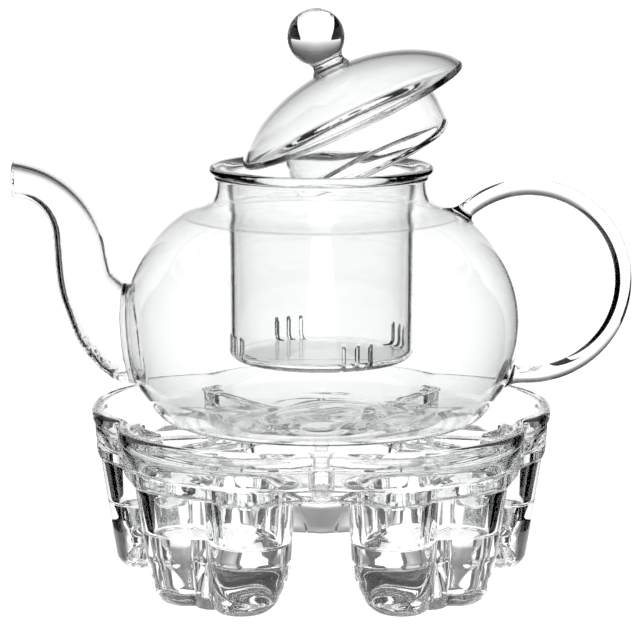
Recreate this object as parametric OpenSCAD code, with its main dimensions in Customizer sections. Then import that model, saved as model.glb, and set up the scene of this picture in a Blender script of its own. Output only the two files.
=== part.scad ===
// Glass teapot with a strainer cup and a loose lid, standing on a pressed glass warmer.
// The pot's axis is vertical, the spout points to -X and the handle to +X.
// The lid lies propped on the strainer's rim, its knob leaning towards the spout.

/* [Pot] */
// Widest radius of the blown pot
belly_r = 71.5; // [68:0.5:75]
// Height of the widest ring above the pot's base
belly_h = 38.5; // [36:0.5:41]
// Height of the shoulder above the widest ring
shoulder_h = 43; // [40:0.5:46]
// Radius of the neck where the shoulder ends
neck_r = 38.5; // [38:0.1:40]
// Height of the neck above the shoulder
neck_h = 10.3; // [8:0.1:13]
// Radius of the flat base
base_r = 36; // [32:1:40]
// Wall thickness of the pot
pot_wall = 2; // [1.6:0.1:2.4]

/* [Spout] */
// Height of the spout's root above the pot's base
spout_root_h = 35.8; // [34:0.2:38]
// Wall thickness of the spout
spout_wall = 1.6; // [1.2:0.1:2]

/* [Handle] */
// Radius of the handle's bend, at the rod's centre
handle_bend_r = 34; // [32:0.5:35]
// Diameter of the handle's rod
handle_rod_d = 6; // [5:0.2:8]

/* [Strainer] */
// Outer radius of the strainer cup
strainer_r = 33.2; // [31:0.2:33.6]
// Depth of the strainer below its flange
strainer_depth = 66.7; // [55:0.1:70]
// Outer radius of the strainer's flange
flange_r = 40; // [39:0.5:42]
// Thickness of the strainer's flange
flange_t = 3; // [2.5:0.1:3.4]
// Wall thickness of the strainer
strainer_wall = 2; // [1.6:0.1:2.4]
// Width of one strainer slit
slit_w = 1.2; // [0.8:0.1:1.6]
// Height of the slits up the wall
slit_h = 10; // [6:1:14]

/* [Lid] */
// Outer radius of the lid
lid_r = 43; // [41:0.5:45]
// Height of the lid's dome
dome_h = 18.5; // [16:0.5:21]
// Wall thickness of the dome
dome_wall = 2; // [1.6:0.1:2.4]
// Outer radius of the collar under the lid
collar_r = 30.3; // [28:0.1:30.3]
// Depth of the collar below the lid's edge
collar_h = 19; // [17:0.5:19]
// Radius of the ball knob
knob_r = 10.2; // [8:0.2:12]
// Tilt of the propped lid
lid_tilt = 25.2; // [25:0.1:25.4]

/* [Warmer] */
// Height of the warmer's rim above the table
warmer_h = 60; // [58:0.5:62]
// Distance of each petal's arc centre from the axis
petal_offset = 32.2; // [31:0.1:33]
// Radius of each petal's arc
petal_r = 52.6; // [52:0.1:54]
// Wall thickness of the warmer's rim
rim_wall = 4; // [3.4:0.1:4.6]
// Radius of the opening over the candle
candle_r = 28; // [24:0.5:30]

/* [Hidden] */
LEGS = ["back", "left", "front_left", "front_right", "right"];
$fn = 96;
eps = 0.01;
petals = 5;
petal_step = 360 / petals;

// Heights of the warmer's parts and of the pot that stands on its ribs
band_h = 6;
floor_z = 42;
floor_t = 4;
floor_top = floor_z + floor_t;
band_z = warmer_h - band_h;
rib_top = warmer_h - 7.2;
rib_w = 5;
rib_reach = 30;
seat_gap = 0.2;
pot_z = rib_top + seat_gap;

// Warmer: notch between two petals, and the step from the rim's band to the skirt below it
function ray_hit(offset, r, a) = offset * cos(a) + sqrt(r * r - pow(offset * sin(a), 2));
notch_r = ray_hit(petal_offset, petal_r, petal_step / 2);
skirt_inset = 2;
pad_r = 3.6;
pad_reach = notch_r - 6.5;

// Legs: two lobes and a tip towards the axis at the floor, the waist and the foot.
// Each level is [height, lobe distance, lobe angle, lobe radius, tip distance, tip radius]
leg_top = [floor_z, 64.8, 13.9, 15.5, 38, 4];
leg_waist = [18, 62.1, 13.6, 14.2, 41, 3.5];
leg_foot = [2, 64.5, 9.8, 9, 57, 4];
leg_sole = [0, 64.5, 9.8, 7.2, 58, 3];
leg_wall = 4;
pocket_taper = 0.6;
pocket_tip = 7;
pocket_floor = 24;
groove_fill = [63, 9.5, 7];

// Pot outline, from the base's edge up to the lip, in the pot's own heights
bowl_a = 42;
bowl_b = 45;
bowl_end = 45;
heel_r = 7;
heel_slope = 13;
shoulder_power = 1.6;
lip_flare = 0.4;
lip_band = 1;
neck_waist = 0.7;
neck_waist_drop = 5;
neck_root = [0.6, 2.5];
bowl_x = belly_r - bowl_a;
bowl_foot = [bowl_x + bowl_a * cos(bowl_end), belly_h - bowl_b * sin(bowl_end)];
heel_from = atan2(bowl_a * sin(bowl_end), bowl_b * cos(bowl_end));
heel_c = bowl_foot + heel_r * [-cos(heel_from), sin(heel_from)];
shoulder_top = belly_h + shoulder_h;
lip_z = shoulder_top + neck_h;
shoulder_rise = belly_r - neck_r;
pot_outer = concat(
    [[0, 0], [base_r, 0]],
    [for (a = [90 - heel_slope : -8 : heel_from]) heel_c + heel_r * [cos(a), -sin(a)]],
    [for (t = [bowl_end : -5 : 5]) [bowl_x + bowl_a * cos(t), belly_h - bowl_b * sin(t)]],
    [for (t = [0 : 0.1 : 0.8]) shoulder_point(t)],
    [for (t = [0.85 : 0.05 : 0.95]) shoulder_point(t)],
    [[neck_r + neck_root[0], shoulder_top], [neck_r - neck_waist / 2, shoulder_top + neck_root[1]],
     [neck_r - neck_waist, lip_z - neck_waist_drop], [neck_r - neck_waist + lip_flare, lip_z - lip_band],
     [neck_r - neck_waist + lip_flare, lip_z]]);
function shoulder_point(t) =
    [neck_r + shoulder_rise * pow(1 - t * t, 1 / shoulder_power), belly_h + shoulder_h * t];

// A path moved sideways by d, to the left of its direction of travel
function unit(v) = v / norm(v);
function heading(p, i) = unit(p[min(i + 1, len(p) - 1)] - p[max(i - 1, 0)]);
function inset(p, d) = [for (i = [0 : len(p) - 1]) p[i] + d * [-heading(p, i)[1], heading(p, i)[0]]];

// Spout: stations along its middle, each [distance from the axis, height over the base, radius]
spout_stations = [
    [67, 34.5, 18.5], [71, 36.5, 17.2], [76, 40, 14.8], [80.5, 45.5, 12], [84, 52, 10.3],
    [85.5, 59.5, 9.7], [86.5, 67, 9.2], [89, 75, 7.8], [93, 81.3, 6.7], [98, 85.8, 6.1],
    [103, 88.3, 6], [109, 89.5, 6.4]];
spout_sides = 24;
spout_steps = 2;
weld_depth = 0.6;
spout_hole_r = 14;

// Handle: the bend's centre, and the angles where the rod leaves the bend
handle_x = 74;
handle_h = 53;
handle_top_a = 133;
handle_foot_a = -90;
handle_foot_l = 12;
weld_r = 5.2;
weld_l = 5;
weld_lap = 3;
weld_at = 3.5;
weld_end = 4;

// Strainer, standing in the pot's mouth with its flange on the lip
strainer_gap = 0.2;
flange_z = pot_z + lip_z + strainer_gap;
strainer_top = flange_z + flange_t;
strainer_corner = 4;
strainer_neck_h = 14;
strainer_neck_r = strainer_r + 0.9;
flange_fillet = 1.2;
flange_round = 1.5;
flange_rim = 1;
slit_groups = 4;
slits_a_group = 3;
slit_step = 8.9;
slit_from = 22.7;
slit_reach = 6;

// Lid, drawn upright around the centre of its edge plane and then propped
lid_pos = [11.2, 0, strainer_top + 18.3];
sphere_r = (lid_r * lid_r + dome_h * dome_h) / (2 * dome_h);
lid_edge_t = 2.4;
lid_edge_z = 0.6;
cap_steps = 14;
collar_wall = 2;
collar_roll = 5;
collar_sink = [0.4, 0.3];
neck_foot_r = 7.5;
neck_waist_r = 5.6;
neck_top_r = 6;
neck_levels = [-0.6, 1.2, 3.6];
knob_h = dome_h + 12.3;

// The set stands with the middle of its outline over the origin
spout_out = spout_stations[len(spout_stations) - 1][0] + spout_wall;
handle_out = handle_x + handle_bend_r + handle_rod_d / 2;
back_out = petal_offset + petal_r;
front_out = petal_offset * cos(petal_step / 2) + petal_r;
set_pos = [(spout_out - handle_out) / 2, (front_out - back_out) / 2, 0];

// Colours
clear = [0.9, 0.95, 0.97, 0.45];
pressed = [0.85, 0.92, 0.95, 0.5];

// ---------------------------------------------------------------- helpers

// Rotates children so that +X points along one petal; the first petal is at the back
module toward_petal(i) {
    rotate([0, 0, 90 + i * petal_step]) children();
}

// Two circles and the straight sides that touch both of them
module bar_2d(c1, r1, c2, r2) {
    along = c2 - c1;
    lean = acos((r1 - r2) / norm(along));
    a = atan2(along[1], along[0]);
    translate(c1) circle(r1);
    translate(c2) circle(r2);
    polygon([c1 + r1 * [cos(a + lean), sin(a + lean)], c1 + r1 * [cos(a - lean), sin(a - lean)],
             c2 + r2 * [cos(a - lean), sin(a - lean)], c2 + r2 * [cos(a + lean), sin(a + lean)]]);
}

// One side's lobe and tip of a leg level, shrunk by d; tip_d shortens the tip as well
function lobe_c(level, side) = level[1] * [cos(side * level[2]), sin(side * level[2])];
module lobe_slice(level, side, d = 0, tip_d = 0, z = undef) {
    translate([0, 0, is_undef(z) ? level[0] : z]) linear_extrude(eps) {
        translate(lobe_c(level, side)) circle(level[3] - d, $fn = 40);
        translate([level[4] + tip_d, 0]) circle(level[5] - d / 4, $fn = 20);
    }
}

// Closed skin around rings of points, each ring joined to the next and the last to the first
module ring_loop(rings) {
    n = len(rings[0]);
    m = len(rings);
    polyhedron(
        points = [for (ring = rings) each ring],
        faces = [for (i = [0 : m - 1]) for (j = [0 : n - 1])
            [i * n + j, ((i + 1) % m) * n + j, ((i + 1) % m) * n + (j + 1) % n, i * n + (j + 1) % n]],
        convexity = 6);
}

// Smooth curve through stations, with a number of steps between two of them
function smooth_at(p, i, t) =
    let (a = p[max(i - 1, 0)], b = p[i], c = p[i + 1], d = p[min(i + 2, len(p) - 1)])
    0.5 * (2 * b + (c - a) * t + (2 * a - 5 * b + 4 * c - d) * t * t
           + (3 * b - a - 3 * c + d) * t * t * t);
function smooth(p, steps) = concat(
    [for (i = [0 : len(p) - 2]) for (k = [0 : steps - 1]) smooth_at(p, i, k / steps)],
    [p[len(p) - 1]]);

// Solid inside of the pot's outer skin, made smaller by d
module pot_solid(d = 0) {
    rotate_extrude()
        polygon(concat([[0, d]], [for (p = inset(pot_outer, d)) [max(p[0], 0), p[1]]], [[0, lip_z]]));
}

// ---------------------------------------------------------------- warmer

// Plan of the five petals together, each arc of radius r
module petals_2d(r) {
    for (i = [0 : petals - 1]) toward_petal(i) translate([petal_offset, 0]) circle(r);
}

module pocket_2d() {
    for (side = [-1, 1])
        bar_2d(lobe_c(leg_top, side), leg_top[3] - leg_wall,
               [leg_top[4] + pocket_tip, 0], leg_top[5] - leg_wall / 4);
}

module warmer_rim() {
    color(pressed) translate(set_pos) {
        translate([0, 0, band_z]) linear_extrude(band_h) difference() {
            petals_2d(petal_r);
            petals_2d(petal_r - rim_wall);
        }
        translate([0, 0, floor_z]) linear_extrude(band_z - floor_z + eps) difference() {
            petals_2d(petal_r - skirt_inset);
            petals_2d(petal_r - rim_wall);
        }
    }
}

module warmer_floor() {
    color(pressed) translate(set_pos) {
        translate([0, 0, floor_z]) linear_extrude(floor_t) difference() {
            petals_2d(petal_r - rim_wall);
            circle(candle_r);
            for (i = [0 : petals - 1]) toward_petal(i) pocket_2d();
        }
        for (i = [0 : petals - 1]) rotate([0, 0, 90 + (i + 0.5) * petal_step])
            translate([0, 0, floor_top - eps]) {
                translate([pad_reach, 0, 0]) cylinder(h = warmer_h - floor_top, r = pad_r);
                translate([rib_reach, -rib_w / 2, 0])
                    cube([pad_reach - rib_reach, rib_w, rib_top - floor_top]);
            }
    }
}

module warmer_leg(i) {
    color(pressed) translate(set_pos) toward_petal(i) difference() {
        union() {
            for (side = [-1, 1]) {
                hull() {
                    translate([0, 0, -eps]) lobe_slice(leg_top, side);
                    lobe_slice(leg_waist, side);
                }
                hull() {
                    lobe_slice(leg_waist, side);
                    lobe_slice(leg_foot, side);
                    lobe_slice(leg_sole, side);
                }
            }
            translate([groove_fill[0], 0, 0])
                cylinder(h = floor_z, r1 = groove_fill[2], r2 = groove_fill[1]);
        }
        for (side = [-1, 1]) hull() {
            lobe_slice(leg_top, side, leg_wall, pocket_tip);
            lobe_slice(leg_waist, side, leg_wall + pocket_taper, pocket_tip, pocket_floor);
        }
    }
}

// ---------------------------------------------------------------- pot

module pot_body() {
    color(clear) translate(set_pos + [0, 0, pot_z]) difference() {
        pot_solid();
        rotate_extrude() polygon(concat(
            [[0, pot_wall]], [for (p = inset(pot_outer, pot_wall)) [max(p[0], 0), p[1]]],
            [[neck_r - neck_waist + lip_flare - pot_wall, lip_z + 1], [0, lip_z + 1]]));
        translate([0, 0, spout_root_h]) rotate([0, -90, 0]) cylinder(h = 2 * belly_r, r = spout_hole_r);
    }
}

module spout() {
    path = smooth(spout_stations, spout_steps);
    last = len(path) - 1;
    mid = [for (s = path) [s[0], s[1]]];
    ring = function (i, r) let (d = heading(mid, i))
        [for (k = [0 : spout_sides - 1]) let (a = 360 * k / spout_sides)
            [-(path[i][0] - d[1] * r * cos(a)), r * sin(a), path[i][1] + d[0] * r * cos(a)]];
    color(clear) translate(set_pos + [0, 0, pot_z]) difference() {
        ring_loop(concat([for (i = [0 : last]) ring(i, path[i][2])],
                         [for (i = [last : -1 : 0]) ring(i, path[i][2] - spout_wall)]));
        pot_solid(weld_depth);
    }
}

module handle() {
    color(clear) translate(set_pos + [0, 0, pot_z]) difference() {
        union() {
            translate([handle_x, 0, handle_h]) rotate([90, 0, 0]) {
                rotate([0, 0, handle_foot_a]) rotate_extrude(angle = handle_top_a - handle_foot_a)
                    translate([handle_bend_r, 0]) circle(handle_rod_d / 2, $fn = 32);
                rotate([0, 0, handle_top_a]) translate([handle_bend_r, 0, 0]) rotate([-90, 0, 0])
                    translate([0, 0, -weld_lap])
                        cylinder(h = weld_l + weld_lap, r1 = handle_rod_d / 2, r2 = weld_r);
            }
            translate([handle_x, 0, handle_h - handle_bend_r]) rotate([0, -90, 0]) {
                cylinder(h = handle_foot_l, r = handle_rod_d / 2);
                translate([0, 0, weld_at]) cylinder(h = weld_l, r1 = handle_rod_d / 2, r2 = weld_r);
                translate([0, 0, weld_at + weld_l - eps]) cylinder(h = weld_end, r = weld_r);
            }
        }
        pot_solid(weld_depth);
    }
}

// ---------------------------------------------------------------- strainer

module infuser() {
    bottom = -strainer_depth;
    corner = strainer_corner;
    inner_corner = corner - strainer_wall;
    outer = concat(
        [[0, bottom]],
        [for (a = [-90 : 15 : 0])
            [strainer_r - corner + corner * cos(a), bottom + corner + corner * sin(a)]],
        [[strainer_r, -strainer_neck_h], [strainer_neck_r, -flange_fillet],
         [strainer_neck_r + 0.3 * flange_fillet, -0.3 * flange_fillet],
         [strainer_neck_r + flange_fillet, 0], [flange_r - flange_rim, 0]],
        [for (a = [-60 : 30 : 60])
            [flange_r - flange_round + flange_round * cos(a), flange_t / 2 + flange_round * sin(a)]],
        [[flange_r - flange_rim, flange_t]]);
    inner = concat(
        [[strainer_neck_r - strainer_wall, flange_t],
         [strainer_neck_r - strainer_wall, -flange_fillet], [strainer_r - strainer_wall, -strainer_neck_h]],
        [for (a = [0 : -15 : -90])
            [strainer_r - corner + inner_corner * cos(a), bottom + corner + inner_corner * sin(a)]],
        [[0, bottom + strainer_wall]]);
    color(clear) translate(set_pos + [0, 0, flange_z]) difference() {
        rotate_extrude() polygon(concat(outer, inner));
        for (g = [0 : slit_groups - 1]) for (k = [0 : slits_a_group - 1])
            rotate([0, 0, -90 + slit_from + g * 360 / slit_groups + (k - 1) * slit_step])
                translate([strainer_r - slit_reach, -slit_w / 2, bottom - 1])
                    cube([slit_reach + 1, slit_w, slit_h + 1]);
    }
}

// ---------------------------------------------------------------- lid

module propped() {
    translate(set_pos + lid_pos) rotate([0, -lid_tilt, 0]) children();
}

function cap(r, from, to, step) =
    [for (a = [from : step : to]) [r * sin(a), r * cos(a) + dome_h - sphere_r]];

module lid_dome() {
    edge_a = asin((lid_r - lid_edge_t / 2) / sphere_r);
    inner_r = sphere_r - dome_wall;
    inner_edge_a = 1.5;
    color(clear) propped() {
        rotate_extrude() polygon(concat(
            cap(sphere_r, 0, edge_a, edge_a / cap_steps),
            cap(inner_r, edge_a - inner_edge_a, 0, -edge_a / cap_steps),
            [[0, dome_h - dome_wall]]));
        rotate_extrude() translate([lid_r - lid_edge_t / 2, lid_edge_z]) circle(lid_edge_t / 2, $fn = 32);
    }
}

module lid_collar() {
    roll = collar_roll;
    top = sqrt(pow(sphere_r - dome_wall + collar_sink[0], 2) - pow(collar_r, 2)) + dome_h - sphere_r;
    outer = concat([[collar_r, top]],
        [for (a = [0 : -15 : -90]) [collar_r - roll + roll * cos(a), -collar_h + roll + roll * sin(a)]]);
    inner = [for (a = [-90 : 15 : 0])
        [collar_r - roll + (roll - collar_wall) * cos(a),
         -collar_h + roll + (roll - collar_wall) * sin(a)]];
    color(clear) propped()
        rotate_extrude() polygon(concat(outer, inner, [[collar_r - collar_wall, top + collar_sink[1]]]));
}

module lid_neck() {
    color(clear) propped() translate([0, 0, dome_h])
        rotate_extrude() polygon([[0, neck_levels[0]], [neck_foot_r, neck_levels[0]],
                                  [neck_waist_r, neck_levels[1]],
                                  [neck_top_r, neck_levels[2]], [0, neck_levels[2]]]);
}

module lid_knob() {
    color(clear) propped() translate([0, 0, knob_h]) sphere(knob_r);
}

// ---------------------------------------------------------------- nodes

warmer_rim();
warmer_floor();
for (i = [0 : petals - 1])
    warmer_leg(i);
pot_body();
spout();
handle();
infuser();
lid_dome();
lid_collar();
lid_neck();
lid_knob();
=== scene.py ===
"""Glass teapot set: a blown pot, its strainer cup and propped lid, and the pressed glass warmer below.

Every piece of glass is drawn as a smooth solid field, in millimetres from its own axis, and skinned
with a fine mesh whose points and normals lie exactly on that field. The mesh is written in metres, at
the place that the CAD frame gives.
"""

import logging
import math
from abc import ABC, abstractmethod
from dataclasses import dataclass, field
from enum import Enum
from typing import Callable

import bpy
import numpy as np
from mathutils import Matrix, Vector


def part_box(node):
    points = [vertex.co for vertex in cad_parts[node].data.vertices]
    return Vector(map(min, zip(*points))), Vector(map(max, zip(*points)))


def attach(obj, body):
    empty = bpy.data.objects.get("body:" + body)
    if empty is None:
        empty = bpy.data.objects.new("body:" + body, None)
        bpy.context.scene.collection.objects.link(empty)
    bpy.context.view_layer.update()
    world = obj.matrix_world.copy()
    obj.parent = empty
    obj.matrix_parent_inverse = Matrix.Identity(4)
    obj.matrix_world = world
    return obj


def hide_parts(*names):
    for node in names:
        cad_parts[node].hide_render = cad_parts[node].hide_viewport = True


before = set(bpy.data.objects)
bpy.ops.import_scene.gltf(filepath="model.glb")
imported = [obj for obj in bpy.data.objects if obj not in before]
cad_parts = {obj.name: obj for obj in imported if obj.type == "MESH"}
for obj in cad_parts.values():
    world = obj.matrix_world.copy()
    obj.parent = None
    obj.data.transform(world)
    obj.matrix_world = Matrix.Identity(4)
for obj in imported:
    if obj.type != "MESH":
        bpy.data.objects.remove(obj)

Array = np.ndarray
Field = Callable[[Array, Array, Array], Array]

LOG = logging.getLogger("teapot")
MM = 0.001
TAU = 2 * math.pi
BLOCK = 4          # samples along a side of the blocks that the grid is read in
BATCH = 12000      # blocks read at a time
LINE_STEP = 0.3    # millimetres between the points of a section's line


# ---------------------------------------------------------------- field algebra


def join(a: Array, b: Array, blend: float) -> Array:
    """Union of two fields with a fillet.

    Args:
        a, b: signed distances, negative inside.
        blend: width of the fillet in millimetres.

    Returns:
        The signed distance of the union.
    """
    share = np.clip(0.5 + 0.5 * (b - a) / blend, 0, 1)
    return b + (a - b) * share - blend * share * (1 - share)


def common(a: Array, b: Array, blend: float) -> Array:
    """What two fields share, its edge rounded by blend."""
    return -join(-a, -b, blend)


def carve(a: Array, tool: Array, blend: float) -> Array:
    """Field a with the field tool taken out of it, the new edge rounded by blend."""
    return -join(-a, tool, blend)


def between(value: Array, low: float, high: float) -> Array:
    """Signed distance of the slab low < value < high."""
    return np.abs(value - (low + high) / 2) - (high - low) / 2


def ease(value: Array, start: float, end: float) -> Array:
    """0 up to start and 1 from end on, smooth between them."""
    t = np.clip((value - start) / (end - start), 0, 1)
    return t * t * (3 - 2 * t)


def arc(centre: tuple[float, float], radius: float, start: float, end: float, steps: int) -> Array:
    """Points along an arc.

    Args:
        centre: the arc's centre.
        radius: its radius.
        start, end: its first and last angle, in degrees.
        steps: how many stretches it has.

    Returns:
        An array of steps + 1 points.
    """
    a = np.radians(np.linspace(start, end, steps + 1))
    return np.stack([centre[0] + radius * np.cos(a), centre[1] + radius * np.sin(a)], axis=1)


def smooth_line(points: Array, steps: int = 8) -> Array:
    """A Catmull-Rom curve through points, every column included.

    Args:
        points: one row for each point.
        steps: stretches between two points.

    Returns:
        The curve's points.
    """
    p = np.vstack([2 * points[0] - points[1], points, 2 * points[-1] - points[-2]])
    t = (np.arange(steps) / steps)[:, None]
    rows = [0.5 * (2 * b + (c - a) * t + (2 * a - 5 * b + 4 * c - d) * t**2
                   + (3 * b - a - 3 * c + d) * t**3)
            for a, b, c, d in zip(p, p[1:], p[2:], p[3:])]
    return np.vstack(rows + [points[-1:]])


def soften(line: Array, rounds: int) -> Array:
    """Rounds a line's corners by cutting them, a few times over, its ends kept.

    Args:
        line: one row for each point.
        rounds: how many times each corner is cut.

    Returns:
        The rounded line.
    """
    for _ in range(rounds):
        early = 0.75 * line[:-1] + 0.25 * line[1:]
        late = 0.25 * line[:-1] + 0.75 * line[1:]
        line = np.vstack([line[:1], np.stack([early, late], axis=1).reshape(-1, line.shape[1]), line[-1:]])
    return line


def evened(line: Array, step: float = LINE_STEP) -> Array:
    """A line with its points set evenly along it, every column included.

    Args:
        line: one row for each point, of which the first two columns are its place.
        step: the new distance between points.

    Returns:
        The evened line.
    """
    run = np.concatenate([[0], np.cumsum(np.linalg.norm(np.diff(line[:, :2], axis=0), axis=1))])
    at = np.linspace(0, run[-1], max(2, round(run[-1] / step)))
    return np.stack([np.interp(at, run, column) for column in line.T], axis=1)


def inwards(line: Array, depth: float) -> Array:
    """A line moved sideways.

    Args:
        line: one row for each point.
        depth: how far it goes to the left of its direction of travel.

    Returns:
        The moved line's points.
    """
    ahead = np.gradient(line[:, :2], axis=0)
    ahead /= np.linalg.norm(ahead, axis=1)[:, None]
    return line[:, :2] + depth * np.stack([-ahead[:, 1], ahead[:, 0]], axis=1)


class Section:
    """A line drawn in a plane with half a thickness at each point, kept as a table of distances."""

    def __init__(self, line: Array, reach: float = 9.0, step: float = 0.2) -> None:
        """Fills the table round the line.

        Args:
            line: rows of across, up and half the thickness.
            reach: how far from the line the distances hold; past it they stay at reach.
            step: the table's spacing.
        """
        self.low = line[:, :2].min(axis=0) - reach - step
        self.step = step
        size = np.ceil((line[:, :2].max(axis=0) + reach + step - self.low) / step).astype(int) + 1
        self.gap = np.full(size, reach)
        self.half = np.full(size, line[:, 2].mean())
        for a, b in zip(line, line[1:]):
            way = b[:2] - a[:2]
            first = ((np.minimum(a, b)[:2] - reach - self.low) / step).astype(int)
            last = ((np.maximum(a, b)[:2] + reach - self.low) / step).astype(int) + 2
            window = slice(first[0], last[0]), slice(first[1], last[1])
            across = (self.low[0] + step * np.arange(first[0], min(last[0], size[0])))[:, None] - a[0]
            up = (self.low[1] + step * np.arange(first[1], min(last[1], size[1])))[None, :] - a[1]
            t = np.clip((across * way[0] + up * way[1]) / (way @ way), 0, 1)
            gap = np.hypot(across - t * way[0], up - t * way[1])
            nearer = gap < self.gap[window]
            self.gap[window][nearer] = gap[nearer]
            self.half[window][nearer] = (a[2] + t * (b[2] - a[2]))[nearer]

    def look(self, across: Array, up: Array) -> tuple[Array, Array]:
        """Reads the table.

        Args:
            across, up: the places in the section's plane.

        Returns:
            The distance to the line, and half the thickness at the line's nearest point.
        """
        i, j = (np.clip((value - low) / self.step, 0, count - 1.001)
                for value, low, count in zip((across, up), self.low, self.gap.shape))
        m, n = i.astype(np.int32), j.astype(np.int32)
        u, v = i - m, j - n

        def read(table: Array) -> Array:
            """The table's value between its four nearest entries."""
            return ((table[m, n] * (1 - v) + table[m, n + 1] * v) * (1 - u)
                    + (table[m + 1, n] * (1 - v) + table[m + 1, n + 1] * v) * u)

        return read(self.gap), read(self.half)

    def wall(self, across: Array, up: Array) -> Array:
        """Signed distance of a wall that follows the line."""
        gap, half = self.look(across, up)
        return gap - half

    def rod(self, across: Array, up: Array, aside: Array) -> Array:
        """Signed distance of a round rod that follows the line."""
        gap, half = self.look(across, up)
        return np.hypot(gap, aside) - half


# ---------------------------------------------------------------- meshing


def sampled(solid: Field, low: Array, shape: tuple[int, ...], cell: float) -> Array:
    """A field's values on a grid, worked out only near its surface.

    Args:
        solid: the field, negative inside.
        low: the grid's first corner, in millimetres.
        shape: how many samples it has along each axis, in multiples of BLOCK.
        cell: its spacing.

    Returns:
        The values; far from the surface only their sign holds.
    """
    blocks = [n // BLOCK for n in shape]
    middle = [start + cell * (BLOCK * np.arange(n) + (BLOCK - 1) / 2) for start, n in zip(low, blocks)]
    rough = solid(middle[0][:, None, None], middle[1][None, :, None], middle[2][None, None, :])
    rough = np.broadcast_to(rough, blocks)
    value = np.repeat(np.repeat(np.repeat(rough, BLOCK, 0), BLOCK, 1), BLOCK, 2).astype(np.float32)
    near = np.argwhere(np.abs(rough) < 1.5 * cell * BLOCK)
    inner = np.stack(np.meshgrid(*[np.arange(BLOCK)] * 3, indexing="ij"), axis=-1).reshape(-1, 3)
    for part in np.array_split(near, max(1, len(near) // BATCH)):
        place = (part[:, None, :] * BLOCK + inner[None, :, :]).reshape(-1, 3)
        value[tuple(place.T)] = solid(*(place * cell + low).T)
    return value


def raw_skin(solid: Field, low: Array, high: Array, cell: float,
             margin: float = 2.5) -> tuple[Array, Array]:
    """A surface net over a field: one point in every cell that the surface crosses.

    Args:
        solid: the field, negative inside.
        low, high: corners of the box that holds the solid, in millimetres.
        cell: the net's spacing.
        margin: cells kept free round the box.

    Returns:
        The points and the four-sided faces, which look outwards.
    """
    low = low - margin * cell
    shape = tuple(BLOCK * math.ceil((b + margin * cell - a) / cell / BLOCK) for a, b in zip(low, high))
    value = sampled(solid, low, shape, cell)
    stride = np.array([shape[1] * shape[2], shape[2], 1])
    rings, cuts = [], []
    for axis in range(3):
        near, far = [slice(None)] * 3, [slice(None)] * 3
        near[axis], far[axis] = slice(None, -1), slice(1, None)
        before, after = value[tuple(near)], value[tuple(far)]
        place = np.argwhere((before < 0) != (after < 0))
        a, b = before[tuple(place.T)], after[tuple(place.T)]
        cut = place.astype(float)
        cut[:, axis] += a / (a - b)
        home = place @ stride
        u, v = stride[(axis + 1) % 3], stride[(axis + 2) % 3]
        ring = np.stack([home, home - u, home - u - v, home - v], axis=1)
        ring[a >= 0] = ring[a >= 0][:, ::-1]
        rings.append(ring)
        cuts.append(cut)
    faces = np.unique(np.vstack(rings), return_inverse=True)[1].reshape(-1, 4)
    cut = np.repeat(np.vstack(cuts), 4, axis=0)
    number = np.bincount(faces.ravel())
    points = np.stack([np.bincount(faces.ravel(), cut[:, k]) / number for k in range(3)], axis=1)
    return points * cell + low, faces


def slope_of(solid: Field, points: Array, reach: float = 0.12) -> Array:
    """Gradient of a field, by central differences.

    Args:
        solid: the field.
        points: the places, one row each.
        reach: half the distance over which it is taken.

    Returns:
        One gradient for each point.
    """
    columns = []
    for k in range(3):
        step = np.zeros(3)
        step[k] = reach
        columns.append((solid(*(points + step).T) - solid(*(points - step).T)) / (2 * reach))
    return np.stack(columns, axis=1)


def fine_skin(solid: Field, low: Array, high: Array, cell: float, rounds: int = 3,
              relax: float = 0.6) -> tuple[Array, Array, Array]:
    """A surface net that is evened out and pulled onto the field.

    Args:
        solid: the field, negative inside.
        low, high: corners of the box that holds the solid, in millimetres.
        cell: the net's spacing.
        rounds: how often the net is evened out and pulled.
        relax: how far a point goes towards the mean of its neighbours each time.

    Returns:
        The points, the faces, and each point's normal.
    """
    points, faces = raw_skin(solid, low, high, cell)
    start, end = faces.ravel(), np.roll(faces, -1, axis=1).ravel()
    number = np.bincount(start)[:, None]
    for _ in range(rounds):
        mean = np.stack([np.bincount(start, points[end, k]) for k in range(3)], axis=1) / number
        points = points + relax * (mean - points)
        for _ in range(2):
            slope = slope_of(solid, points)
            steep = (slope**2).sum(axis=1) + 1e-6
            move = np.clip(solid(*points.T) / steep, -cell / 2, cell / 2)
            points = points - move[:, None] * slope
    slope = slope_of(solid, points)
    return points, faces, slope / (np.linalg.norm(slope, axis=1)[:, None] + 1e-9)


# ---------------------------------------------------------------- glass


class Make(Enum):
    """How a piece of glass was made; only the log reads it."""

    BLOWN = "blown"
    DRAWN = "drawn"
    PRESSED = "pressed"


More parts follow.
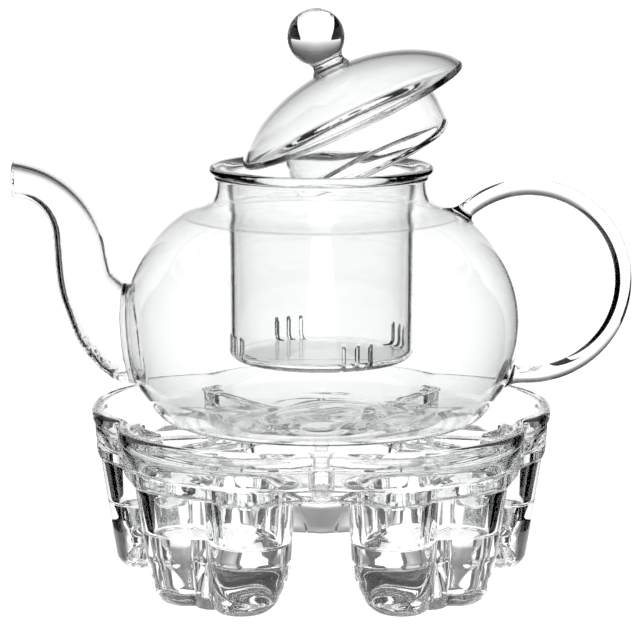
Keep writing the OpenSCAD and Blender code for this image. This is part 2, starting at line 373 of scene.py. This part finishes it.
@dataclass(frozen=True)
class GlassFinish:
    """A clear glass: its optics and the slight unevenness of its surface."""

    slot: str
    make: Make
    ior: float = 1.47
    tint: tuple[float, float, float] = (0.985, 0.99, 0.99)
    ripple: float = 0.05
    ripple_size: tuple[float, float, float] = (18.0, 18.0, 120.0)

    def material(self, surface: bpy.types.NodeTree) -> bpy.types.Material:
        """Makes the glass's shader material.

        Args:
            surface: the shared surface group.

        Returns:
            The material.
        """
        made = bpy.data.materials.new(self.slot)
        made.use_nodes = True
        nodes, links = made.node_tree.nodes, made.node_tree.links
        shader = nodes["Principled BSDF"]
        shader.inputs["Base Color"].default_value = (*self.tint, 1.0)
        shader.inputs["Metallic"].default_value = 0.0
        shader.inputs["Transmission Weight"].default_value = 1.0
        shader.inputs["IOR"].default_value = self.ior
        shader.inputs["Roughness"].default_value = 0.0
        place = nodes.new("ShaderNodeTexCoord")
        uneven = nodes.new("ShaderNodeGroup")
        uneven.node_tree = surface
        uneven.inputs["Size"].default_value = self.ripple_size
        bump = nodes.new("ShaderNodeBump")
        bump.inputs["Strength"].default_value = self.ripple
        bump.inputs["Distance"].default_value = MM
        links.new(place.outputs["Object"], uneven.inputs["Place"])
        links.new(uneven.outputs["Height"], bump.inputs["Height"])
        links.new(bump.outputs["Normal"], shader.inputs["Normal"])
        return made


def surface_group() -> bpy.types.NodeTree:
    """Makes the node group for the slow waves in the surface of hand-worked glass.

    Returns:
        The group: Place and Size go in, Height comes out.
    """
    tree = bpy.data.node_groups.new("glass_surface", "ShaderNodeTree")
    for name in ("Place", "Size"):
        tree.interface.new_socket(name, in_out="INPUT", socket_type="NodeSocketVector")
    tree.interface.new_socket("Height", in_out="OUTPUT", socket_type="NodeSocketFloat")
    nodes, links = tree.nodes, tree.links
    given, result = nodes.new("NodeGroupInput"), nodes.new("NodeGroupOutput")
    scaled = nodes.new("ShaderNodeVectorMath")
    scaled.operation = "MULTIPLY"
    waves = nodes.new("ShaderNodeTexNoise")
    waves.inputs["Scale"].default_value = 1.0
    waves.inputs["Detail"].default_value = 1.5
    links.new(given.outputs["Place"], scaled.inputs[0])
    links.new(given.outputs["Size"], scaled.inputs[1])
    links.new(scaled.outputs[0], waves.inputs["Vector"])
    links.new(waves.outputs[0], result.inputs["Height"])
    return tree


@dataclass
class GlassPiece(ABC):
    """One loose piece of glass: a field, the CAD nodes it stands for, and the body it rides on."""

    axis: tuple[float, float] = (0.0, 0.0)

    name: str = field(default="", init=False)
    body: str = field(default="", init=False)
    nodes: tuple[str, ...] = field(default=(), init=False)
    cell: float = field(default=0.8, init=False)

    @abstractmethod
    def solid(self) -> Field:
        """The piece's signed distance, in millimetres from its own axis."""

    @abstractmethod
    def extent(self) -> tuple[Array, Array]:
        """Corners of the box that holds the piece, in the field's own millimetres."""

    def place(self) -> Matrix:
        """Where the field's origin and axes lie in the frame."""
        return Matrix.Translation((self.axis[0] * MM, self.axis[1] * MM, 0.0))

    def build(self, finish: GlassFinish, glass: bpy.types.Material) -> bpy.types.Object:
        """Skins the field, dresses it, and ties it to the frame.

        Args:
            finish: the glass that the piece is made of.
            glass: that glass's shader material.

        Returns:
            The finished object.
        """
        low, high = self.extent()
        points, faces, normals = fine_skin(self.solid(), low, high, self.cell)
        place = self.place()
        turn = np.array(place.to_3x3())
        points = points * MM @ turn.T + np.array(place.translation)
        mesh = bpy.data.meshes.new(self.name)
        mesh.from_pydata(points, [], faces)
        mesh.shade_smooth()
        mesh.normals_split_custom_set_from_vertices(normals @ turn.T)
        mesh.materials.append(glass)
        made = bpy.data.objects.new(self.name, mesh)
        bpy.context.scene.collection.objects.link(made)
        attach(made, self.body)
        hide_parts(*self.nodes)
        LOG.info("%s: %d faces, %s glass", self.name, len(faces), finish.make.value)
        return made


# ---------------------------------------------------------------- pot


@dataclass
class BlownPot(GlassPiece):
    """The blown body with its spout and rod handle fused on."""

    base_z: float = 53.0
    belly_r: float = 71.5
    belly_h: float = 38.5
    shoulder_h: float = 43.0
    neck_r: float = 38.5
    neck_h: float = 10.3
    base_r: float = 36.0
    wall: float = 1.6
    bowl: tuple[float, float] = (42.0, 45.0)
    bowl_sweep: float = 45.0
    heel_r: float = 7.0
    heel_from: float = -78.0
    shoulder_power: float = 1.6
    shoulder_end: float = 0.93
    neck_root: tuple[tuple[float, float], ...] = ((2.7, -1.2), (0.7, 0.9), (-0.4, 3.4))
    neck_lip: tuple[tuple[float, float], ...] = ((-0.7, -4.0), (-0.3, -1.1))
    swirl_h: float = 0.07
    swirl_r: float = 46.0
    swirl_top: float = 12.0
    spout_wall: float = 1.6
    spout_line: tuple[tuple[float, float, float], ...] = (
        (67, 34.5, 18.5), (71, 36.5, 17.2), (76, 40, 14.8), (80.5, 45.5, 12), (84, 52, 10.3),
        (85.5, 59.5, 9.7), (86.5, 67, 9.2), (89, 75, 7.8), (93, 81.3, 6.7), (98, 85.8, 6.1),
        (103, 88.3, 6), (109, 89.5, 6.4), (114, 90, 6.6))
    spout_cut: float = 4.0
    spout_side: float = 40.0
    clear: float = 20.0
    handle_x: float = 74.0
    handle_h: float = 53.0
    bend_r: float = 34.0
    bend_from: float = 133.0
    rod_r: float = 3.0
    lead: tuple[float, float] = (4.5, 2.5)
    lead_way: tuple[float, float] = (-0.73, -0.68)
    lead_radii: tuple[float, float, float] = (5.2, 4.2, 3.3)
    tail: tuple[float, ...] = (70.0, 67.5, 65.5, 63.0)
    tail_radii: tuple[float, ...] = (3.2, 3.9, 4.8, 5.2)

    def __post_init__(self) -> None:
        """Names the piece and what it stands for."""
        self.name, self.body = "blown_pot", "pot"
        self.nodes = ("pot_body", "spout", "handle")
        self.cell = 0.7

    def outline(self) -> Array:
        """The outer outline from the middle of the base up to the lip.

        Returns:
            Rows of radius and height.
        """
        a, b = self.bowl
        t = np.radians(np.linspace(self.bowl_sweep, 0, 12))
        bowl = np.stack([self.belly_r - a + a * np.cos(t), self.belly_h - b * np.sin(t)], axis=1)
        facing = math.atan2(a * math.sin(t[0]), b * math.cos(t[0]))
        centre = bowl[0] + self.heel_r * np.array([-math.cos(facing), math.sin(facing)])
        heel = arc(tuple(centre), self.heel_r, self.heel_from, -math.degrees(facing), 5)
        rise = np.sin(np.linspace(0, math.pi / 2, 24))[1:-1]
        rise = rise[rise < self.shoulder_end]
        shoulder = np.stack([
            self.neck_r + (self.belly_r - self.neck_r) * (1 - rise**2) ** (1 / self.shoulder_power),
            self.belly_h + self.shoulder_h * rise], axis=1)
        root = np.array([self.neck_r, self.belly_h + self.shoulder_h])
        neck = np.vstack([root + self.neck_root, root + (0, self.neck_h) + self.neck_lip])
        base = [[0, 0], [self.base_r, 0]]
        return evened(soften(np.vstack([base, heel[:-1], bowl, shoulder, neck]), 4))

    def spine(self) -> Array:
        """The spout's middle from its root to its tip, as distance, height and outer radius."""
        return evened(smooth_line(np.array(self.spout_line), 24))

    def rod(self) -> Array:
        """The handle's middle, from the weld on the shoulder round to the weld near the heel.

        Returns:
            Rows of distance, height and the rod's radius.
        """
        bend = arc((self.handle_x, self.handle_h), self.bend_r, self.bend_from, -90, 60)
        lead = bend[0] + np.outer(self.lead, self.lead_way)
        tail = np.column_stack([self.tail, np.full(len(self.tail), self.handle_h - self.bend_r)])
        line = np.vstack([lead, bend, tail])
        thick = np.full(len(line), self.rod_r)
        thick[:len(self.lead_radii)] = self.lead_radii
        thick[-len(self.tail_radii):] = self.tail_radii
        return evened(smooth_line(np.column_stack([line, thick]), 6))

    def solid(self) -> Field:
        """Body, spout and handle as one piece of glass.

        Returns:
            The fused pot's field.
        """
        outer = self.outline()
        middle = inwards(outer, self.wall / 2)
        middle[0] = [0, self.wall / 2]
        body = Section(np.column_stack([middle, np.full(len(middle), self.wall / 2)]))
        spout = Section(self.spine(), reach=26.0)
        handle = Section(self.rod(), reach=10.0)
        side = middle[middle[:, 0] > self.base_r - 2]
        tip = self.spine()[:, 0].max() - self.spout_cut

        def pot(x: Array, y: Array, z: Array) -> Array:
            """Signed distance of the fused pot.

            Args:
                x, y, z: places, from the pot's axis and the table.

            Returns:
                One distance for each place.
            """
            z = z - self.base_z
            r = np.hypot(x, y)
            around = np.arctan2(y, x)
            fold = 0.42 * r + 2.2 * np.sin(around * 2 + r * 0.11) + 1.3 * np.sin(around * 3 - r * 0.19)
            near_base = ease(self.swirl_r - r, 0, 10) * ease(self.swirl_top - z, 0, 8) * ease(r, 0, 14)
            glass = body.wall(r, z) - self.swirl_h * near_base * np.sin(fold)
            deep = r - np.interp(z, side[:, 1], side[:, 0])
            tube = spout.rod(-x, z, y)
            bore = tube + self.spout_wall
            tube = common(carve(tube, bore, 0.4), -deep, 0.6)
            tube = common(tube, -x - tip, 0.5)
            glass = carve(glass, bore + self.clear * (x > -self.spout_side), 0.9)
            glass = join(glass, tube, 1.8)
            grip = common(handle.rod(x, z, y), -deep - 0.2, 0.6)
            return join(glass, grip, 2.0)

        return pot

    def extent(self) -> tuple[Array, Array]:
        """The whole pot's box."""
        stations = np.array(self.spout_line)
        spout_end = stations[:, 0].max() - self.spout_cut + 1.0
        height = (stations[:, 1] + stations[:, 2]).max()
        return (np.array([-spout_end, -self.belly_r, self.base_z]),
                np.array([self.handle_x + self.bend_r + self.rod_r, self.belly_r, self.base_z + height]))


# ---------------------------------------------------------------- strainer


@dataclass
class Strainer(GlassPiece):
    """The blown cup with a flange, and three saw cuts in each quarter of its foot."""

    flange_z: float = 145.0
    depth: float = 66.7
    radius: float = 33.2
    flange_r: float = 40.0
    flange_t: float = 3.0
    wall: float = 2.0
    corner: float = 4.0
    slit_w: float = 1.0
    blade_r: float = 11.3
    blade_x: float = 38.5
    slit_from: float = 22.7
    slit_step: float = 8.9

    def __post_init__(self) -> None:
        """Names the piece and what it stands for."""
        self.name, self.body = "strainer_cup", "strainer"
        self.nodes = ("infuser",)
        self.cell = 0.6

    def line(self) -> Array:
        """The middle of the wall from the foot's centre up to the flange's edge.

        Returns:
            Rows of radius, height over the flange's underside, and half the thickness.
        """
        half, r = self.wall / 2, self.radius - self.wall / 2
        bend = arc((self.radius - self.corner, self.corner - self.depth), self.corner - half, -90, 0, 8)
        foot = np.column_stack([np.vstack([[0, half - self.depth], bend]), np.full(len(bend) + 1, half)])
        side = np.array([[r, -15.0, half], [r + 0.3, -9.0, half], [r + 0.9, -3.5, half]])
        brim = np.array([[r + 1.1, -1.2, half], [r + 1.7, 0.6, 1.15], [r + 3.2, 1.45, 1.35],
                         [self.flange_r - 1.5, self.flange_t / 2, self.flange_t / 2]])
        return evened(np.vstack([foot, soften(np.vstack([side, brim]), 4)]))

    def solid(self) -> Field:
        """The cup with its slits cut.

        Returns:
            The cup's field.
        """
        cup = Section(self.line())
        first = math.radians(self.slit_from - 90)
        step = math.radians(self.slit_step)

        def strainer(x: Array, y: Array, z: Array) -> Array:
            """Signed distance of the slitted cup.

            Args:
                x, y, z: places, from the cup's axis and the table.

            Returns:
                One distance for each place.
            """
            z = z - self.flange_z
            r = np.hypot(x, y)
            glass = cup.wall(r, z)
            turn = np.arctan2(y, x) - first
            turn = (turn + math.pi / 4) % (math.pi / 2) - math.pi / 4
            for k in (-1, 0, 1):
                along, aside = r * np.cos(turn - k * step), r * np.sin(turn - k * step)
                blade = np.hypot(along - self.blade_x, z + self.depth) - self.blade_r
                cut = common(blade, np.abs(aside) - self.slit_w / 2, 0.2)
                glass = carve(glass, cut, 0.3)
            return glass

        return strainer

    def extent(self) -> tuple[Array, Array]:
        """The cup's box."""
        return (np.array([-self.flange_r, -self.flange_r, self.flange_z - self.depth]),
                np.array([self.flange_r, self.flange_r, self.flange_z + self.flange_t]))


# ---------------------------------------------------------------- lid


@dataclass
class Lid(GlassPiece):
    """The blown dome with the collar fused under it, propped on the strainer's rim."""

    centre: tuple[float, float, float] = (11.2, 0.0, 165.5)
    tilt: float = 25.2
    radius: float = 43.0
    dome_h: float = 18.5
    wall: float = 1.9
    fullness: float = 0.5
    edge_in: float = 1.0
    collar_top_r: float = 29.5
    collar_r: float = 30.3
    collar_h: float = 19.0
    roll: float = 5.0
    roll_sweep: float = 75.0

    def __post_init__(self) -> None:
        """Names the piece and what it stands for."""
        self.name, self.body = "domed_lid", "lid"
        self.nodes = ("lid_dome", "lid_collar")
        self.cell = 0.6

    @property
    def sphere_r(self) -> float:
        """Radius of the sphere that the dome is part of."""
        return (self.radius**2 + self.dome_h**2) / (2 * self.dome_h)

    def place(self) -> Matrix:
        """The centre of the lid's edge, leaning towards the spout."""
        x, y, z = self.centre
        spot = Vector((self.axis[0] + x, self.axis[1] + y, z))
        return Matrix.Translation(spot * MM) @ Matrix.Rotation(math.radians(-self.tilt), 4, "Y")

    def solid(self) -> Field:
        """The dome, its folded edge and the collar below, one wall throughout.

        Returns:
            The upright lid's field, from the middle of its edge.
        """
        half, ball = self.wall / 2, self.sphere_r - self.wall / 2
        edge = self.radius - self.edge_in
        along = np.linspace(0, 0.93, 90) * math.pi / 2
        r = edge * np.sin(along)
        round_z = np.sqrt(ball**2 - r**2) + self.dome_h - self.sphere_r
        full_z = (self.dome_h - half) * np.cos(along)
        cap = np.column_stack([r, self.fullness * full_z + (1 - self.fullness) * round_z])
        top, foot = self.collar_top_r - half, self.collar_r - half
        curl = self.roll - self.collar_h
        fold = [[edge, 0.5], [edge - 0.3, -0.2], [edge - 1.8, -0.6], [top + 3.0, -0.6], [top + 0.5, -1.3]]
        collar = [[top, -3.2], [foot - 0.2, -6.5], [foot, curl + 3.0]]
        bend = arc((self.collar_r - self.roll, curl), self.roll - half, 0, -self.roll_sweep, 24)
        line = np.vstack([evened(cap, 0.5), fold, collar, bend])
        shell = Section(evened(soften(np.column_stack([line, np.full(len(line), half)]), 3)))

        def lid(x: Array, y: Array, z: Array) -> Array:
            """Signed distance of the lid, drawn upright."""
            return shell.wall(np.hypot(x, y), z)

        return lid

    def extent(self) -> tuple[Array, Array]:
        """The upright lid's box."""
        return (np.array([-self.radius, -self.radius, -self.collar_h]),
                np.array([self.radius, self.radius, self.dome_h]))


@dataclass
class BallKnob(Lid):
    """The solid ball and the short neck that it stands on."""

    ball_r: float = 10.2
    ball_up: float = 12.3
    neck_h: float = 4.2
    neck_line: tuple[tuple[float, float], ...] = (
        (-0.4, 7.4), (0.5, 6.7), (1.7, 5.9), (2.9, 5.8), (4.2, 6.3))
    weld_gap: float = 0.05

    def __post_init__(self) -> None:
        """Names the piece and what it stands for."""
        self.name, self.body = "ball_knob", "lid"
        self.nodes = ("lid_neck", "lid_knob")
        self.cell = 0.4

    def solid(self) -> Field:
        """Ball and neck, standing on the dome.

        Returns:
            The upright knob's field, from the middle of the lid's edge.
        """
        neck_z, neck_r = np.array(self.neck_line).T

        def knob(x: Array, y: Array, z: Array) -> Array:
            """Signed distance of the knob, drawn upright.

            Args:
                x, y, z: places, from the middle of the lid's edge.

            Returns:
                One distance for each place.
            """
            r, up = np.hypot(x, y), z - self.dome_h
            ball = np.hypot(r, up - self.ball_up) - self.ball_r
            neck = common(r - np.interp(up, neck_z, neck_r), up - self.neck_h, 0.6)
            dome = np.hypot(r, up + self.sphere_r) - self.sphere_r - self.weld_gap
            return carve(join(ball, neck, 0.5), dome, 0.3)

        return knob

    def extent(self) -> tuple[Array, Array]:
        """The upright knob's box."""
        reach = self.ball_r
        return (np.array([-reach, -reach, self.dome_h - 0.7]),
                np.array([reach, reach, self.dome_h + self.ball_up + reach]))


# ---------------------------------------------------------------- warmer


@dataclass
class Warmer(GlassPiece):
    """The pressed glass warmer: a petalled rim, a floor with ribs, and hollow two-lobed legs."""

    height: float = 60.0
    petals: int = 5
    petal_offset: float = 32.2
    petal_r: float = 52.6
    floor_z: tuple[float, float] = (42.0, 46.0)
    rib_top: float = 52.8
    rib_w: float = 5.0
    rib_from: float = 30.0
    pad_r: float = 3.6
    pad_top: float = 52.8
    pad_at: float = 4.5
    candle_r: float = 28.0
    floor_in: float = 3.0
    web_at: float = 63.0
    web_r: tuple[float, float] = (7.0, 9.5)
    pocket_floor: float = 24.0
    pocket_tip: float = 7.0
    leg_wall: float = 4.0
    levels: tuple[tuple[float, ...], ...] = (
        (-1.0, 64.0, 10.4, 8.0, 57.5, 5.0),
        (0.0, 63.9, 10.5, 8.8, 57.2, 5.2),
        (3.0, 63.5, 11.2, 11.4, 56.0, 6.2),
        (14.0, 62.6, 13.2, 13.7, 45.0, 7.6),
        (42.0, 64.8, 13.9, 15.5, 42.0, 8.5),
        (46.0, 64.9, 13.9, 15.6, 42.0, 8.5))
    level_step: float = 0.5
    level_reach: int = 4

    def __post_init__(self) -> None:
        """Names the piece and what it stands for."""
        self.name, self.body = "pressed_warmer", "warmer"
        legs = ("back", "left", "front_left", "front_right", "right")
        self.nodes = ("warmer_rim", "warmer_floor", *(f"warmer_leg_{leg}" for leg in legs))
        self.cell = 0.75

    def petal(self, x: Array, y: Array, turn: float) -> Array:
        """Distance outside one petal's arc, for the petal turned by an angle."""
        cx, cy = self.petal_offset * math.cos(turn), self.petal_offset * math.sin(turn)
        return np.hypot(x - cx, y - cy) - self.petal_r

    def lobe(self, x: Array, y: Array, level: list[Array], shrink: float, tip_in: float) -> Array:
        """One lobe of a leg with its tip towards the axis, at a level.

        Args:
            x, y: the place, with x along the leg's petal.
            level: the lobe's distance, angle, radius, tip distance and tip radius.
            shrink: how much smaller the lobe is.
            tip_in: how much shorter the tip is.

        Returns:
            The signed distance in plan.
        """
        far, turn, r, near, tip_r = level
        r, tip_r = r - shrink, tip_r - shrink / 4
        cx, cy = far * np.cos(np.radians(turn)), far * np.sin(np.radians(turn))
        px, py = x - cx, y - cy
        bx, by = near + tip_in - cx, -cy
        size = bx**2 + by**2
        across = np.abs(px * by - py * bx) / size
        along = (px * bx + py * by) / size
        drop = r - tip_r
        cos = np.sqrt(size - drop**2)
        turned = cos * along - drop * across
        square = across**2 + along**2
        side = cos * across + drop * along - r
        back = np.sqrt(size * square) - r
        front = np.sqrt(np.maximum(size * (square + 1 - 2 * along), 0)) - tip_r
        return np.where(turned < 0, back, np.where(turned > cos, front, side))

    def leg_table(self) -> Array:
        """The lobes' levels at an even spacing, with the bends between them eased.

        Returns:
            Rows of height and the lobe's five sizes.
        """
        given, reach = np.array(self.levels), self.level_reach
        even = np.arange(given[0, 0], given[-1, 0] + self.level_step / 5, self.level_step)
        table = np.column_stack([even] + [np.interp(even, given[:, 0], column) for column in given.T[1:]])
        kernel = np.hanning(2 * reach + 1)
        kernel /= kernel.sum()
        eased = [np.convolve(column, kernel, "valid") for column in table.T[1:]]
        table[reach:-reach, 1:] = np.column_stack(eased)
        return table

    def solid(self) -> Field:
        """The whole warmer as one piece of glass.

        Returns:
            The warmer's field.
        """
        step = TAU / self.petals
        notch = self.petal_offset * math.cos(step / 2) + math.sqrt(
            self.petal_r**2 - (self.petal_offset * math.sin(step / 2)) ** 2)
        low, high = self.floor_z
        rim = Section(evened(soften(np.array([
            [-2.0, self.height - 2.0, 2.0], [-2.0, 55.6, 2.0], [-2.5, 53.6, 1.6], [-2.9, 49.0, 1.7],
            [-3.7, low + 1.9, 1.9]]), 3)))
        table = self.leg_table()

        def warmer(x: Array, y: Array, z: Array) -> Array:
            """Signed distance of the warmer.

            Args:
                x, y, z: places, from the warmer's axis and the table.

            Returns:
                One distance for each place.
            """
            r = np.hypot(x, y)
            turn = (np.arctan2(y, x) - math.pi / 2 + step / 2) % step - step / 2
            px, py = r * np.cos(turn), np.abs(r * np.sin(turn))
            edge = join(self.petal(px, py, 0.0), self.petal(px, py, step), 2.5)
            glass = rim.wall(edge, z)
            floor = common(edge + self.floor_in, between(z, low, high), 0.8)
            glass = join(glass, floor, 1.5)
            level = [np.interp(z, table[:, 0], column) for column in table.T[1:]]
            leg = join(self.lobe(px, py, level, 0.0, 0.0), self.lobe(px, -py, level, 0.0, 0.0), 1.6)
            foot_r, top_r = self.web_r
            web = np.hypot(px - self.web_at, py) - (foot_r + (top_r - foot_r) * z / low)
            leg = join(leg, web, 1.5)
            leg = common(leg, between(z, 0.0, high - 0.5), 1.6)
            glass = join(glass, leg, 2.0)
            nx = r * np.cos(step / 2 - np.abs(turn))
            ny = r * np.sin(step / 2 - np.abs(turn))
            rib = np.maximum(ny - self.rib_w / 2, between(nx, self.rib_from, notch - self.pad_at))
            rib = common(rib, between(z, low, self.rib_top), 1.0)
            pad = np.hypot(nx - notch + self.pad_at, ny) - self.pad_r
            pad = common(pad, between(z, low, self.pad_top), 1.2)
            glass = join(join(glass, rib, 1.2), pad, 1.6)
            pocket = self.lobe(px, py, level, self.leg_wall, self.pocket_tip)
            pocket = common(pocket, self.pocket_floor - z, 1.6)
            glass = carve(glass, pocket, 1.2)
            return carve(glass, r - self.candle_r, 1.2)

        return warmer

    def extent(self) -> tuple[Array, Array]:
        """The warmer's box."""
        reach = self.petal_offset + self.petal_r
        return np.array([-reach, -reach, 0.0]), np.array([reach, reach, self.height])


# ---------------------------------------------------------------- studio


@dataclass
class Studio:
    """A light table in a dim room: a glowing wall behind whose painted light fades with height, and black
    cards that draw the glass's edges.
    """

    axis: tuple[float, float]
    camera_back: float = 1.095
    camera_up: float = 0.285
    camera_aside: float = -0.0005
    camera_pitch: float = 10.0
    lens: float = 174.4
    paper: float = 1.25
    dusk: float = 0.02
    front_light: float = 0.6
    card_plan: tuple[tuple[float, float, float], ...] = (
        (0.128, -0.22, 0.11), (0.125, 0.0, 0.11), (0.13, 0.06, 0.19), (0.19, 0.25, 0.19), (1.1, 2.8, 0.19))
    low_plan: tuple[tuple[float, float, float], ...] = (
        (0.1, -0.1, 0.048), (0.104, 0.05, 0.048), (0.113, 0.15, 0.048))
    mat_light: float = 0.05
    mat_gap: float = 0.002
    mat_far: tuple[tuple[float, float], ...] = ((3.0, 2.8), (3.0, -3.0), (0.5, -3.0))
    front_sheet: tuple[float, float, float] = (2.0, -1.8, 2.5)
    floor_half: float = 6.0
    floor_drop: float = 0.0003
    paper_gap: float = 0.0002
    wall_back: float = 3.0
    wall_half: float = 3.2
    wall_painted_light: tuple[tuple[float, float], ...] = (
        (0.0, 1.25), (0.19, 1.05), (0.42, 0.68), (0.62, 0.46), (0.9, 0.28), (1.17, 0.17), (1.7, 0.09),
        (2.5, 0.04), (4.0, 0.02))

    def link(self, made: bpy.types.Object) -> bpy.types.Object:
        """Puts an object into the scene."""
        bpy.context.scene.collection.objects.link(made)
        return made

    def camera(self) -> bpy.types.Object:
        """Sets up the long-lens camera in front of the set.

        Returns:
            The camera.
        """
        data = bpy.data.cameras.new("camera")
        data.lens, data.sensor_width = self.lens, 36.0
        data.dof.use_dof = False
        made = self.link(bpy.data.objects.new("camera", data))
        x, y = self.axis
        made.location = (x * MM + self.camera_aside, y * MM - self.camera_back, self.camera_up)
        made.rotation_euler = (math.radians(90 - self.camera_pitch), 0, 0)
        bpy.context.scene.camera = made
        return made

    def glow(self, name: str, strength: float) -> bpy.types.Material:
        """Makes evenly glowing white paper.

        Args:
            name: the paper's name.
            strength: how much it glows; 0 is black card.

        Returns:
            The paper's material.
        """
        paint = bpy.data.materials.new(name)
        paint.use_nodes = True
        shader = paint.node_tree.nodes["Principled BSDF"]
        shader.inputs["Base Color"].default_value = (0.0, 0.0, 0.0, 1.0)
        shader.inputs["Specular IOR Level"].default_value = 0.0
        shader.inputs["Emission Color"].default_value = (1.0, 1.0, 1.0, 1.0)
        shader.inputs["Emission Strength"].default_value = strength
        return paint

    def sheet(self, name: str, points: list[tuple[float, float, float]],
              faces: list[tuple[int, ...]], paint: bpy.types.Material) -> bpy.types.Object:
        """Hangs a piece of paper of the studio, which isn't part of the set.

        Args:
            name: the sheet's name.
            points: its corners.
            faces: the corners of each of its faces.
            paint: its paper.

        Returns:
            The sheet.
        """
        mesh = bpy.data.meshes.new(name)
        mesh.from_pydata(points, [], faces)
        mesh.materials.append(paint)
        made = self.link(bpy.data.objects.new(name, mesh))
        return made

    def upright(self, name: str, half: float, y: float, top: float,
                paint: bpy.types.Material) -> bpy.types.Object:
        """A sheet that stands across the view.

        Args:
            name: the sheet's name.
            half: half its width.
            y: how far behind the set it stands.
            top: its height.
            paint: its paper.

        Returns:
            The sheet.
        """
        points = [(-half, y, 0.0), (half, y, 0.0), (half, y, top), (-half, y, top)]
        return self.sheet(name, points, [(0, 1, 2, 3)], paint)

    def painted_wall_glow(self) -> bpy.types.Material:
        """Makes a glowing white sheet with painted light: bright at the floor and darker with height, as
        if lit from below.

        Returns:
            The paper's material.
        """
        paint = self.glow("wall_glow_painted_light", 1.0)
        nodes, links = paint.node_tree.nodes, paint.node_tree.links
        place, parts = nodes.new("ShaderNodeTexCoord"), nodes.new("ShaderNodeSeparateXYZ")
        level, ramp = nodes.new("ShaderNodeMapRange"), nodes.new("ShaderNodeValToRGB")
        top = self.wall_painted_light[-1][0]
        level.inputs["From Max"].default_value = top
        for _ in self.wall_painted_light[2:]:
            ramp.color_ramp.elements.new(0.5)
        # painted light: the wall's glow is brightest at the floor and dims with height, standing in for
        # light from below
        for stop, (height, light) in zip(ramp.color_ramp.elements, self.wall_painted_light):
            stop.position, stop.color = height / top, (light, light, light, 1.0)
        links.new(place.outputs["Object"], parts.inputs[0])
        links.new(parts.outputs["Z"], level.inputs["Value"])
        links.new(level.outputs[0], ramp.inputs[0])
        links.new(ramp.outputs[0], nodes["Principled BSDF"].inputs["Emission Color"])
        return paint

    def surround(self, camera: bpy.types.Object) -> None:
        """Hangs wall, front light, side cards and mats, which turn with the camera and show only in glass.

        Args:
            camera: what they turn with.
        """
        stand = self.link(bpy.data.objects.new("card_stand", None))
        stand.location = (self.axis[0] * MM, self.axis[1] * MM, 0.0)
        follow = stand.constraints.new("LOCKED_TRACK")
        follow.target = camera
        follow.track_axis = "TRACK_NEGATIVE_Y"
        follow.lock_axis = "LOCK_Z"
        black, grey = self.glow("black_card", 0.0), self.glow("grey_mat", self.mat_light)
        top = self.wall_painted_light[-1][0]
        sheets = [
            self.upright("wall", self.wall_half, self.wall_back, top, self.painted_wall_glow()),
            self.upright("front", *self.front_sheet, self.glow("front_paper", self.front_light))]
        for side, word in ((-1, "left"), (1, "right")):
            for name, plan in (("card", self.card_plan), ("low_card", self.low_plan)):
                points = [(side * x, y, z) for x, y, height in plan for z in (self.paper_gap, height)]
                faces = [(k, k + 2, k + 3, k + 1) for k in range(0, len(points) - 2, 2)]
                sheets.append(self.sheet(f"{name}_{word}", points, faces, black))
            plan = [(x + self.mat_gap, y) for x, y, _ in self.card_plan] + list(self.mat_far)
            points = [(side * x, y, self.paper_gap) for x, y in plan]
            sheets.append(self.sheet(f"mat_{word}", points, [tuple(range(len(points)))], grey))
        for sheet in sheets:
            sheet.parent = stand
            sheet.visible_camera = sheet.visible_diffuse = sheet.visible_shadow = False

    def world(self) -> bpy.types.World:
        """Makes a room that is white to the eye, and dusk to all that glass bends or mirrors.

        Returns:
            The world.
        """
        made = bpy.data.worlds.new("room")
        made.use_nodes = True
        nodes, links = made.node_tree.nodes, made.node_tree.links
        path, light = nodes.new("ShaderNodeLightPath"), nodes.new("ShaderNodeMapRange")
        light.inputs["To Min"].default_value = self.dusk
        light.inputs["To Max"].default_value = self.paper
        links.new(path.outputs["Is Camera Ray"], light.inputs["Value"])
        links.new(light.outputs[0], nodes["Background"].inputs["Strength"])
        nodes["Background"].inputs["Color"].default_value = (1, 1, 1, 1)
        return made

    def build(self) -> None:
        """Sets up the world, the floor, the camera and the cards."""
        scene = bpy.context.scene
        scene.world = self.world()
        scene.view_settings.view_transform = "Standard"
        scene.cycles.max_bounces = 40
        scene.cycles.transmission_bounces = 40
        scene.cycles.glossy_bounces = 16
        scene.cycles.sample_clamp_indirect = 0
        half, z = self.floor_half, -self.floor_drop
        points = [(-half, -half, z), (half, -half, z), (half, half, z), (-half, half, z)]
        self.sheet("floor", points, [(0, 1, 2, 3)], self.glow("floor_paper", self.paper))
        self.surround(self.camera())


# ---------------------------------------------------------------- the set


def centre_of(node: str) -> tuple[float, float]:
    """Middle of a CAD node's box in plan, in millimetres."""
    low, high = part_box(node)
    return ((low.x + high.x) / 2 / MM, (low.y + high.y) / 2 / MM)


def main() -> None:
    """Builds the studio and every piece."""
    logging.basicConfig(level=logging.INFO, format="%(message)s")
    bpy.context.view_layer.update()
    axis = centre_of("pot_body")
    Studio(axis).build()
    surface = surface_group()
    blown = GlassFinish("pot_glass", Make.BLOWN, ripple=0.02)
    cup = GlassFinish("strainer_glass", Make.BLOWN, ripple=0.05)
    dome = GlassFinish("lid_glass", Make.BLOWN, ripple=0.04)
    ball = GlassFinish("knob_glass", Make.DRAWN, ripple=0.0)
    pressed = GlassFinish("warmer_glass", Make.PRESSED, ior=1.52, ripple=0.07,
                          ripple_size=(60.0, 60.0, 40.0))
    strainer = Strainer(axis)
    strainer.flange_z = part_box("infuser")[1].z / MM - strainer.flange_t
    pieces = (
        (Warmer(axis), pressed),
        (BlownPot(axis, base_z=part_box("pot_body")[0].z / MM), blown),
        (strainer, cup),
        (Lid(axis), dome),
        (BallKnob(axis), ball),
    )
    for piece, finish in pieces:
        piece.build(finish, finish.material(surface))


if __name__ == "__main__":
    main()
